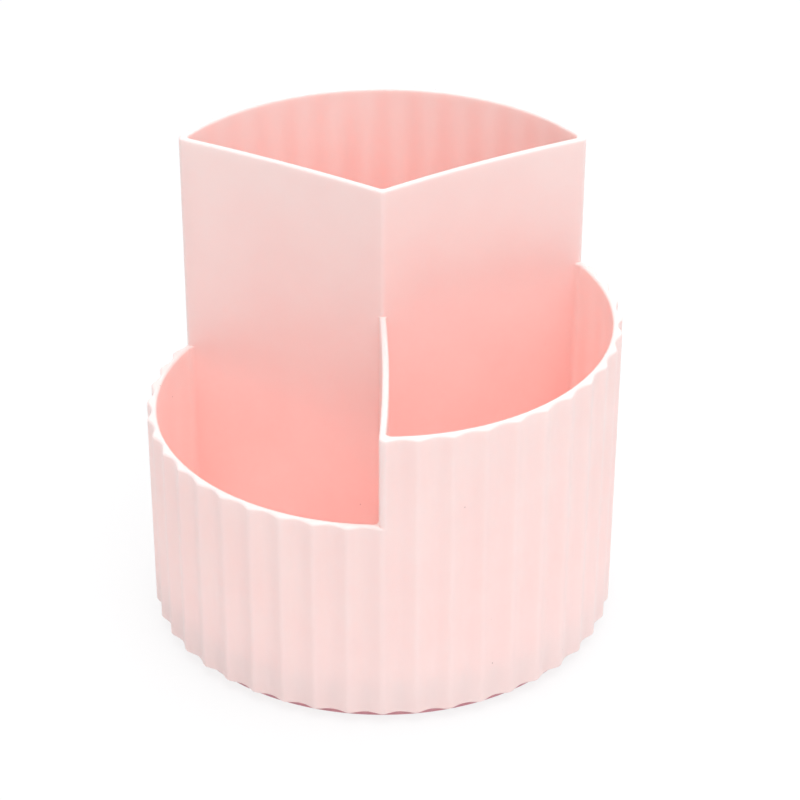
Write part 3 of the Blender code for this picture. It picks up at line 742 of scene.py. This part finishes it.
def cup_shell():
    """The cup as a closed body with rounded rims, filleted pockets and a plain, uncut underside."""
    regions, floors = cup_regions()
    # By level: the regions that stand at least so high, and the names of those whose tops lie there
    tower = [regions["right"], regions["left"]]
    above = ([regions["low"], regions["medium"]] + tower, [regions["medium"]] + tower, tower)
    tops = (["low"], ["medium"], ["right", "left"])
    builder = bmesh.new()
    corners, feet, rounds = {}, {}, {}

    def vertex(place, height):
        """A new point at this place in plan."""
        return builder.verts.new((place.x, place.y, height))

    def corner(key, height):
        """The plan's point at a height, made once and shared by the faces around it."""
        height = round(height, HEIGHT_DIGITS)
        if (key, height) not in corners:
            corners[key, height] = vertex(cup_plan(height)[key], height)
        return corners[key, height]

    def face(points):
        """A face through these points, less the ones that repeat."""
        kept = []
        for point in points:
            if len(kept) > 1 and kept[-2] is point:
                kept.pop()
            elif not kept or kept[-1] is not point:
                kept.append(point)
        if kept[0] is kept[-1]:
            kept.pop()
        if len(kept) > 2:
            builder.faces.new(kept)

    def strips(rings, edges):
        """The faces of a rounding that runs down and under, between each point's rows and the next's."""
        for first, second in edges:
            for step in range(RIM_STEPS):
                face([rings[second][step], rings[first][step],
                      rings[first][step + 1], rings[second][step + 1]])

    def level_row(key, level):
        """Where a wall passes a rim's level: on the outer wall that is where the rim starts to round."""
        if (key, level) in feet:
            return feet[key, level]
        return corner(key, rim_heights[level] - (RIM_ROUND if key[0] == "outer" else 0))

    # Under a step's rounded corner the rim runs out: how wide it still is, and where the corner stands on it
    foot_of, widths = {}, {}
    for index, (angle, name, place) in enumerate(outer_columns()):
        if name:
            level = STEPS[name]["level"]
            height, key, foot = rim_heights[level], ("outer", index), ("nose", name, place)
            if place == NOSE_STEPS:
                foot_of[key, level], widths[key, level] = None, 0
                continue
            gap = (cup_plan(height)[foot] - cup_plan(height)[key]).length
            short = RIM_ROUND - min(gap, RIM_ROUND)
            feet[foot, level] = vertex(cup_plan(height)[foot],
                                       height - RIM_ROUND + math.sqrt(RIM_ROUND ** 2 - short ** 2))
            foot_of[key, level], widths[key, level] = feet[foot, level], gap

    for level, names in enumerate(tops):
        height = rim_heights[level]
        own = set(border([regions[name] for name in names]))
        rim = [edge for edge in border(above[level]) if edge in own]
        draws, left = draws_along(rim, height), faded_points(level)
        for key, draw in draws.items():
            size = min(RIM_ROUND, left.get(key, RIM_ROUND))
            width = widths.get((key, level), math.inf)
            if (key, level) in widths:
                draw = step_foot(outer_columns()[key[1]][1], height)[1]
            points = [corner(key, height - size)]
            for turn in round_turns()[1:]:
                inset = size * (1 - math.cos(turn))
                if not size:
                    points.append(points[0])
                elif inset < width - TOUCH_DISTANCE:
                    points.append(vertex(cup_plan(height)[key] + draw * inset,
                                         height - size * (1 - math.sin(turn))))
                else:
                    points.append(foot_of[key, level] or points[0])
            rounds[key, level] = points

        def rounded(key):
            """A rim point's rows, from the wall up over the rounding."""
            return rounds.get((key, level)) or [level_row(key, level)] * (RIM_STEPS + 1)

        holding_z = height - RIM_ROUND - HOLDING_GAP
        for first, second in border(above[level]):
            if level:
                rows = [[level_row(key, level - 1) for key in (first, second)]]
            elif first[0] == "outer":
                rows = [[corner(key, cup_edge_z + rise) for key in (first, second)]
                        for rise in (EDGE_ROUND, EDGE_ROUND + HOLDING_GAP)]
            else:
                rows = [[corner(key, floor_z + rise) for key in (first, second)]
                        for rise in (FLOOR_FILLET, FLOOR_FILLET + HOLDING_GAP)]
            rows.append([corner(key, holding_z) for key in (first, second)])
            if (first, second) in rim:
                rows.append([rounded(key)[0] for key in (first, second)])
            else:
                rows.append([level_row(key, level) for key in (first, second)])
            for below, top in zip(rows, rows[1:]):
                face([below[0], below[1], top[1], top[0]])
        for first, second in rim:
            for step in range(RIM_STEPS):
                face([rounded(first)[step], rounded(second)[step], rounded(second)[step + 1],
                      rounded(first)[step + 1]])
        for name in names:
            # The top face starts away from the steps, where points of the rounding coincide
            start = len(regions[name]) // TOP_START_PART
            turned = regions[name][start:] + regions[name][:start]
            face([rounded(key)[-1] for key in turned])

    for floor in floors:
        draws = draws_along(edges_round(floor), floor_z)
        rings = {key: [corner(key, floor_z + FLOOR_FILLET)] for key in floor}
        for key in floor:
            for turn in round_turns()[1:]:
                place = cup_plan(floor_z)[key] + draws[key] * FLOOR_FILLET * (1 - math.cos(turn))
                rings[key].append(vertex(place, floor_z + FLOOR_FILLET * (1 - math.sin(turn))))
        strips(rings, edges_round(floor))
        face([rings[key][-1] for key in floor])

    outer = keys_of("outer")
    rings = {}
    for key, (angle, name, spot) in zip(outer, outer_columns()):
        draw = outer_draw(angle, cup_edge_z)
        rings[key] = [corner(key, cup_edge_z + EDGE_ROUND)]
        for turn in round_turns()[1:]:
            place = cup_plan(cup_edge_z)[key] + draw * EDGE_ROUND * (1 - math.cos(turn))
            rings[key].append(vertex(place, cup_edge_z + EDGE_ROUND * (1 - math.sin(turn))))
    strips(rings, edges_round(outer))
    face([rings[key][-1] for key in outer[::-1]])
    mesh = bpy.data.meshes.new("cup_moulding")
    builder.to_mesh(mesh)
    builder.free()
    return mesh


BOSS_RADIUS = 0.0060
BOSS_PROUD = 0.0003
PILOT_RADIUS = 0.0018
PILOT_SKIN = 0.0010
UNDER_FILLET = 0.0006
UNDER_EDGE = 0.0003
SKIRT_LIP_ROUND = 0.0004
SKIRT_LIP_DIP = 0.00003
TRACK_ROOT = 0.0003
SKIRT_ROOT_FILLET = 0.0010
OVERRUN = 0.0010


def underside_section():
    """The hollow under the floor, as a half section: pilot hole, boss, upper ball track and skirt."""
    fillet, edge, root, half = UNDER_FILLET, UNDER_EDGE, TRACK_ROOT, TRACK_WIDTH / 2
    boss_end, under = base_z + WEB_RISE - BOSS_PROUD, floor_z - FLOOR_THICKNESS
    track_z = cage_high.z + TRACK_CLEARANCE
    track_in, track_out, flare = TRACK_RADIUS - half, TRACK_RADIUS + half, skirt_radius + SKIRT_LIP_ROUND
    return [
        (0, floor_z - PILOT_SKIN), (PILOT_RADIUS, floor_z - PILOT_SKIN),
        (PILOT_RADIUS, boss_end + edge), (PILOT_RADIUS + edge, boss_end),
        *bend((BOSS_RADIUS - edge, boss_end + edge), edge, -90, 0),
        *bend((BOSS_RADIUS + fillet, under - fillet), fillet, 180, 90),
        *bend((track_in - root, under - root), root, 90, 0),
        (track_in, track_z + TRACK_EDGE), (track_in + TRACK_EDGE, track_z),
        *track_groove(track_z, True),
        (track_out - TRACK_EDGE, track_z), (track_out, track_z + TRACK_EDGE),
        *bend((track_out + root, under - root), root, 180, 90),
        *bend((skirt_radius - SKIRT_ROOT_FILLET, under - SKIRT_ROOT_FILLET), SKIRT_ROOT_FILLET, 90, 0,
              FINE_STEPS),
        # The lip's arc dips just under the cup's edge, so that the cut crosses that plane cleanly
        *bend((flare, cup_edge_z + SKIRT_LIP_ROUND - SKIRT_LIP_DIP), SKIRT_LIP_ROUND, 180, 270),
        (flare, cup_edge_z - OVERRUN), (0, cup_edge_z - OVERRUN),
    ]


# Moulded polypropylene in pale pink: satin, slightly waxy and translucent, so thin walls glow where light
# comes from both sides. The pigment clouds faintly, and a few dark specks are baked into it. Less light
# passes near the floor and below it, where the base plate stands behind the skirt.
MILKY_RISE = 0.020
MILKY_AT_FLOOR, MILKY_ABOVE = 0.4, 0.8
SPECK_SPACING = 0.0117
SPECK_RADIUS = 0.00022
SPECK_CORE = 0.6 * SPECK_RADIUS
SPECK_STRENGTH = 0.8
pink_plastic, tree, shader, place = start_material(
    "moulded polypropylene, pale pink", IOR=1.49, Subsurface_Scale=0.004, Subsurface_Radius=(0.8, 0.7, 0.7))
rise = add_node(tree, "ShaderNodeSeparateXYZ", {}, {"Vector": place}).outputs["Z"]
milky = spread(tree, rise, MILKY_AT_FLOOR, MILKY_ABOVE, low=floor_z, high=floor_z + MILKY_RISE)
tree.links.new(milky, shader.inputs["Subsurface Weight"])
colour = moulded_skin(tree, shader, place, tones=("#FBDCD7", "#FCE0DB"), cloud_size=0.020,
                      grain_size=0.0004, grain_height=0.00002, gloss=(0.36, 0.46))
speck = add_node(tree, "ShaderNodeTexVoronoi", {"Scale": 1 / SPECK_SPACING},
                 {"Vector": place}).outputs["Distance"]
dark = spread(tree, speck, SPECK_STRENGTH, 0.0,
              low=SPECK_CORE / SPECK_SPACING, high=SPECK_RADIUS / SPECK_SPACING)
# Sockets by number, because a mix of colours shares its names with the other kinds: 0 share, 6 and 7 colours
colour = add_node(tree, "ShaderNodeMix", {7: linear("#9C7370")}, {0: dark, 6: colour},
                  data_type="RGBA").outputs[2]
tree.links.new(colour, shader.inputs["Base Color"])

cup = bpy.data.objects.new("cup_moulding", cup_shell())
bpy.context.scene.collection.objects.link(cup)
bpy.context.view_layer.objects.active = cup
cut_out(cup, spin_section("underside", underside_section(), BASE_STEPS, closed=False))
finish_piece(cup, pink_plastic)
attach(cup, "cup")
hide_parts("cup_body")


# Pivot washer
# A flat washer punched from zinc plated steel. It is wider than the hole in the base plate, so it holds
# the base on while the cup turns.
washer_low, washer_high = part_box("pivot_washer")
WASHER_EDGE = 0.0001
WASHER_EDGE_STEPS = 2
WASHER_STEPS = 96
CRYSTAL_SIZE = 0.0006

# Bright zinc plate over steel: cool grey, with fine crystals that shift its tint and its shine.
zinc_steel, tree, shader, place = start_material("zinc plated steel, bright", Metallic=1.0)
crystals = add_node(tree, "ShaderNodeTexVoronoi", {"Scale": 1 / CRYSTAL_SIZE},
                    {"Vector": place}).outputs["Distance"]
metal_skin(tree, shader, crystals, tones=("#B9BCC1", "#CFD1D4"),
           shine=spread(tree, crystals, 0.26, 0.42, low=0, high=1))

ease, ease_steps = WASHER_EDGE, WASHER_EDGE_STEPS
washer = spin_section("steel_washer", [
    *bend((washer_high.x - ease, washer_high.z - ease), ease, 90, 0, ease_steps),
    *bend((washer_high.x - ease, washer_low.z + ease), ease, 0, -90, ease_steps),
    (PILOT_RADIUS + ease, washer_low.z), (PILOT_RADIUS, washer_low.z + ease),
    (PILOT_RADIUS, washer_high.z - ease), (PILOT_RADIUS + ease, washer_high.z),
], WASHER_STEPS, closed=True)
finish_piece(washer, zinc_steel)
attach(washer, "cup")
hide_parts("pivot_washer")


# Pivot screw
# A pan head self-tapping screw with a cross recess, zinc plated. It is driven from below into the cup's
# boss and clamps the washer. Its thread is left out, because the boss hides it.
screw_low, screw_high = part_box("pivot_screw")
SCREW_RADIUS = 0.0015
SCREW_TIP_RADIUS = 0.0005
SCREW_HEAD_HEIGHT = 0.0014
HEAD_ROUND = 0.0007
CROSS_SPAN = 0.0037
CROSS_WIDTH = 0.0007
CROSS_DEPTH = 0.0007
CROSS_TAPER = 0.6
SCREW_STEPS = 64
seat_z = screw_low.z + SCREW_HEAD_HEIGHT
head_radius = screw_high.x
screw = spin_section("steel_screw", [
    (0, screw_high.z), (SCREW_TIP_RADIUS, screw_high.z), (SCREW_RADIUS, screw_high.z - SCREW_RADIUS),
    *bend((SCREW_RADIUS + ease, seat_z + ease), ease, 180, 270, ease_steps),
    *bend((head_radius - ease, seat_z - ease), ease, 90, 0, ease_steps),
    *bend((head_radius - HEAD_ROUND, screw_low.z + HEAD_ROUND), HEAD_ROUND, 0, -90, FINE_STEPS),
    (0, screw_low.z),
], SCREW_STEPS, closed=False)
for span in ((CROSS_SPAN, CROSS_WIDTH), (CROSS_WIDTH, CROSS_SPAN)):
    slot = start_piece("slot", bpy.ops.mesh.primitive_cube_add, size=1, location=(0, 0, screw_low.z))
    bpy.ops.object.mode_set(mode="EDIT")
    bpy.ops.transform.resize(value=(*span, 2 * CROSS_DEPTH))
    pick(slot, "FACE", lambda centre, normal: normal.z > LEVEL_SHARE)
    bpy.ops.transform.resize(value=(CROSS_TAPER, CROSS_TAPER, 1))
    bpy.ops.object.mode_set(mode="OBJECT")
    cut_out(screw, slot)
finish_piece(screw, zinc_steel)
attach(screw, "cup")
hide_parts("pivot_screw")


# Floor and light
# A plain white floor that runs out of view, in a dim white tent, with a large soft box overhead, one in
# front, one behind and a weak one on the right. Light bounces often in the pockets, so many bounces count.
FLOOR_SIZE = 6.0
WHITE = (1.0, 1.0, 1.0, 1.0)
TENT_LEVEL = 0.48
DAYLIGHT = (0.965, 0.975, 1.0, 1.0)
MAX_BOUNCES = 24
MAX_DIFFUSE_BOUNCES = 16

# How much of the floor's look is lit paper, with the faint shadow at the object's foot. The rest is white.
SHADOW_SHARE = 0.17


def seen_directly(tree):
    """1 for what the camera, a reflection or a clear body sees, 0 for what lights the object."""
    rays = add_node(tree, "ShaderNodeLightPath").outputs
    either = add_node(tree, "ShaderNodeMath", {}, {0: rays["Is Camera Ray"], 1: rays["Is Glossy Ray"]},
                      operation="MAXIMUM")
    return add_node(tree, "ShaderNodeMath", {}, {0: either.outputs[0], 1: rays["Is Transmission Ray"]},
                    operation="MAXIMUM").outputs[0]


studio_floor = start_piece("studio_floor", bpy.ops.mesh.primitive_plane_add, size=FLOOR_SIZE)
paper = bpy.data.materials.new("matt white paper")
paper.use_nodes = True
tree = paper.node_tree
tree.nodes.clear()
matt = add_node(tree, "ShaderNodeBsdfDiffuse", {"Color": linear("#F4F4F4")})
glow = add_node(tree, "ShaderNodeEmission", {"Color": WHITE, "Strength": 1.0})
mostly_white = add_node(tree, "ShaderNodeMixShader", {"Fac": SHADOW_SHARE},
                        {1: glow.outputs[0], 2: matt.outputs[0]})
look = add_node(tree, "ShaderNodeMixShader", {}, {"Fac": seen_directly(tree), 1: matt.outputs[0],
                                                  2: mostly_white.outputs[0]})
add_node(tree, "ShaderNodeOutputMaterial", {}, {"Surface": look.outputs[0]})
studio_floor.data.materials.append(paper)

world = bpy.data.worlds.new("white tent")
bpy.context.scene.world = world
world.use_nodes = True
tree = world.node_tree
tree.nodes.clear()
tent = add_node(tree, "ShaderNodeBackground", {"Color": DAYLIGHT, "Strength": TENT_LEVEL})
backdrop = add_node(tree, "ShaderNodeBackground", {"Color": WHITE, "Strength": 1.0})
look = add_node(tree, "ShaderNodeMixShader", {}, {"Fac": seen_directly(tree), 1: tent.outputs[0],
                                                  2: backdrop.outputs[0]})
add_node(tree, "ShaderNodeOutputWorld", {}, {"Surface": look.outputs[0]})


def soft_box(name, size, power, location):
    """A square soft box that faces the middle of the object."""
    lamp = bpy.data.lights.new(name, "AREA")
    lamp.shape = "SQUARE"
    lamp.size = size
    lamp.energy = power
    lamp.color = DAYLIGHT[:3]
    item = bpy.data.objects.new(name, lamp)
    bpy.context.scene.collection.objects.link(item)
    item.location = location
    towards = Vector((0, 0, tall_rim_z / 2)) - Vector(location)
    item.rotation_euler = towards.to_track_quat("-Z", "Y").to_euler()


soft_box("top_box", size=1.2, power=12.4, location=(0.15, -0.1, 1.3))
soft_box("front_box", size=2.0, power=6.8, location=(0.0, -1.2, 1.1))
soft_box("right_box", size=1.5, power=1.6, location=(1.2, -0.5, 0.8))
soft_box("back_box", size=1.2, power=4.0, location=(0.0, 0.9, 1.1))
bpy.context.scene.cycles.max_bounces = MAX_BOUNCES
bpy.context.scene.cycles.diffuse_bounces = MAX_DIFFUSE_BOUNCES


# Camera
# It stands where the photograph was taken from: straight in front and looking down by about 31 degrees,
# through a long lens. The shift puts the object at the photograph's place in the frame.
CAMERA_PLACE = (0, -0.7245, 0.4927)
CAMERA_DROP = math.radians(30.80)
LENS = 143.9
SENSOR_WIDTH = 36
SHIFT = (0.0219, -0.0013)
NEAR_CLIP = 0.01
camera = bpy.data.objects.new("camera", bpy.data.cameras.new("camera"))
bpy.context.scene.collection.objects.link(camera)
camera.location = CAMERA_PLACE
camera.rotation_euler = (QUARTER_TURN - CAMERA_DROP, 0, 0)
camera.data.lens = LENS
camera.data.sensor_width = SENSOR_WIDTH
camera.data.shift_x, camera.data.shift_y = SHIFT
camera.data.clip_start = NEAR_CLIP
bpy.context.scene.camera = camera
bpy.context.scene.view_settings.view_transform = "Standard"
